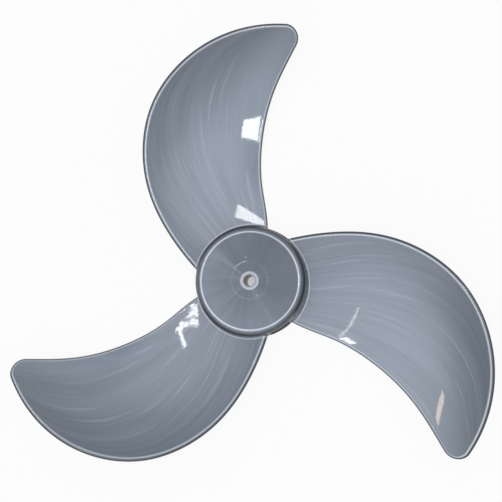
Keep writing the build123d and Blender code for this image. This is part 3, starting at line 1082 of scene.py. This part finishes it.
# %% White paper
PAPER, FOOT_SHADE = "#f6f6f6", "#707276"

inputs = {"Factor": foot_shade, "A": linear(PAPER), "B": linear(FOOT_SHADE)}
paper_colour = add_node(tree, "ShaderNodeMix", MIX_COLOURS, inputs).outputs["Result"]
diffuse = add_node(tree, "ShaderNodeBsdfDiffuse", inputs={"Color": paper_colour}).outputs[0]
glow = add_node(tree, "ShaderNodeEmission", inputs={"Color": (1, 1, 1, 1), "Strength": 1.0}).outputs[0]
face = add_node(tree, "ShaderNodeMixShader", inputs={0: share, 1: diffuse, 2: glow}).outputs[0]
clear = add_node(tree, "ShaderNodeBsdfTransparent").outputs[0]
side = add_node(tree, "ShaderNodeNewGeometry").outputs["Backfacing"]
both_sides = add_node(tree, "ShaderNodeMixShader", inputs={0: side, 1: face, 2: clear})
tree.links.new(both_sides.outputs[0], output.inputs["Surface"])
floor_mesh.materials.append(paper)
print(paper.name, "has", len(tree.nodes), "nodes")

# %% [markdown]
# ## Light
# A tent of white cloth round the object would light it evenly. Lamps behind the cloth make parts of it
# brighter, and gloss shows them as soft bright fields. Such a tent could be modelled, but the world can
# stand for it: one even level, and a soft patch for each lamp behind the cloth, whose strength falls
# off with the angle from its middle.

# %% Tent
TENT_LEVEL, TENT_COLOUR = 0.8, "#fbfcff"
TENT_PATCHES = [  # azimuth and angle from straight above, half width, strength
    (217, 25, 20, 0.95),
    (27, 22, 20, 1.0),
    (149, 29, 20, 0.6),
    (248, 54, 28, 0.5),
    (288, 16, 28, 0.25),
    (172, 14, 11, 0.5),
]
HOLE = (120, 6, 13, 0.85)  # the same four for the hole that the camera looks in through, which is dark
UPPER_RUN, LOWER_RUN = (0.5, 0.85), (0.0, 0.4)  # heights in the sky, from 0 at the horizon to 1 above
SHOULDER_LEVEL = 0.55  # of the tent's level, between those two runs, where no lamp reaches
HORIZON_LEVEL = 1.0


def direction(azimuth, off_axis):
    """Unit vector from its compass angle and its angle from straight above, in degrees."""
    azimuth, off_axis = np.radians([azimuth, off_axis])
    level = np.sin(off_axis)
    return np.array([np.cos(azimuth) * level, np.sin(azimuth) * level, np.cos(off_axis)])


world = bpy.data.worlds.new("tent")
bpy.context.scene.world = world
world.use_nodes = True
tree = world.node_tree
tree.nodes.clear()
sky = add_node(tree, "ShaderNodeTexCoord").outputs["Generated"]
x, y, z = add_node(tree, "ShaderNodeSeparateXYZ", inputs={0: sky}).outputs


def tent_run(height, level):
    """Level from the sky direction's height: two heights in, two levels out, held outside them."""
    ends = {"Value": z, "From Min": height[0], "From Max": height[1]}
    ends.update({"To Min": level[0] * TENT_LEVEL, "To Max": level[1] * TENT_LEVEL})
    return add_node(tree, "ShaderNodeMapRange", inputs=ends).outputs[0]


def sky_patch(azimuth, off_axis, half_width, strength):
    """Smooth patch of the sky: the strength in its middle, and nothing past its half width."""
    towards = tuple(direction(azimuth, off_axis).tolist())
    cosine = add_node(tree, "ShaderNodeVectorMath", {"operation": "DOT_PRODUCT"}, {0: sky, 1: towards})
    edge = float(np.cos(np.radians(half_width)))
    ends = {"Value": cosine.outputs["Value"], "From Min": edge, "To Max": strength}
    return add_node(tree, "ShaderNodeMapRange", {"interpolation_type": "SMOOTHSTEP"}, ends).outputs[0]


upper = tent_run(UPPER_RUN, (SHOULDER_LEVEL, 1.0))
lower = tent_run(LOWER_RUN, (HORIZON_LEVEL, SHOULDER_LEVEL))
level = add_node(tree, "ShaderNodeMath", {"operation": "MAXIMUM"}, {0: upper, 1: lower}).outputs[0]
for tent_patch in TENT_PATCHES:
    inputs = {0: level, 1: sky_patch(*tent_patch)}
    level = add_node(tree, "ShaderNodeMath", {"operation": "ADD"}, inputs).outputs[0]
inputs = {0: 1.0, 1: sky_patch(*HOLE)}
rest = add_node(tree, "ShaderNodeMath", {"operation": "SUBTRACT"}, inputs).outputs[0]
level = add_node(tree, "ShaderNodeMath", {"operation": "MULTIPLY"}, {0: level, 1: rest}).outputs[0]
inputs = {"Color": linear(TENT_COLOUR), "Strength": level}
background = add_node(tree, "ShaderNodeBackground", inputs=inputs)
output = add_node(tree, "ShaderNodeOutputWorld")
tree.links.new(background.outputs[0], output.inputs["Surface"])
print("tent:", len(TENT_PATCHES), "bright patches and one dark hole")

# %% [markdown]
# ## Small windows in the tent
# A glossy surface shows a small bright lamp as a sharp window. Lamps could be moved about until their
# mirror images lie right. Here each is placed from the spot of a blade where it should be mirrored: the
# way from the camera to the spot, thrown back about the surface's direction there, is where it stands.

# %% Window lamps
LAMP_DISTANCE = 2500.0
WINDOWS = [  # name, blade, the two ends of its mirror image in mm, width in degrees, radiance, colour
    ("upper_window", 1, (-10, 170.5), (7, 170.5), 2.6, 18, "#ffffff"),
    ("root_window", 1, (-4, 78), (0.2, 65), 1.4, 14, "#ffffff"),
    ("left_strip", 2, (-60.7, -23.8), (-82.9, -48.1), 0.25, 22, "#ffffff"),
    ("left_hook", 2, (-81, -53.5), (-73.5, -69.7), 0.5, 18, "#ffffff"),
    ("right_line", 0, (113.9, -28.8), (97.9, -57.1), 0.15, 12, "#ffffff"),
    ("right_window", 0, (100.5, -60.3), (106.8, -66.6), 0.7, 18, "#ffffff"),
    ("tip_window", 0, (199.3, -117.7), (192, -142), 1.2, 9, "#ffe6cc"),
]


def mirror_direction(blade, place):
    """Spot on a blade's front, and the direction that a camera's ray is thrown back in there."""
    angle = blade * 360 / BLADE_COUNT
    local = turned(np.array([*place, 0.0]), -angle)[:2]
    spot = np.array([*place, blade_height(local) + BLADE_THICKNESS / 2])
    normal = turned(blade_normal(local), angle)
    to_eye = unit(camera_place - spot)
    return spot, 2 * (normal @ to_eye) * normal - to_eye


def window_lamp(name, blade, first, last, width, radiance, colour):
    """A rectangular lamp whose mirror image reaches from the first spot to the last.

    A lamp's power is pi times its area times its radiance.
    """
    (spot_1, way_1), (spot_2, way_2) = mirror_direction(blade, first), mirror_direction(blade, last)
    towards, across = unit(way_1 + way_2), np.cross(way_1, way_2)
    data = bpy.data.lights.new(name, "AREA")
    data.shape = "RECTANGLE"
    data.size = float(np.arcsin(np.linalg.norm(across))) * LAMP_DISTANCE * MM
    data.size_y = float(np.radians(width)) * LAMP_DISTANCE * MM
    data.energy = np.pi * data.size * data.size_y * radiance
    data.color = linear(colour)[:3]
    place = (spot_1 + spot_2) / 2 + towards * LAMP_DISTANCE
    placed(bpy.data.objects.new(name, data), place, facing(towards, across))
    off_axis = np.degrees(np.arccos(towards[2]))
    sides = f"{data.size / MM:.0f} x {data.size_y / MM:.0f} mm"
    print(f"{name}: {sides}, {off_axis:.0f} degrees off the axis")


for window in WINDOWS:
    window_lamp(*window)

# %% [markdown]
# ## Finish
# Colours go to the render as they are, with no film curve.

# %% Finish
bpy.context.scene.view_settings.view_transform = "Standard"
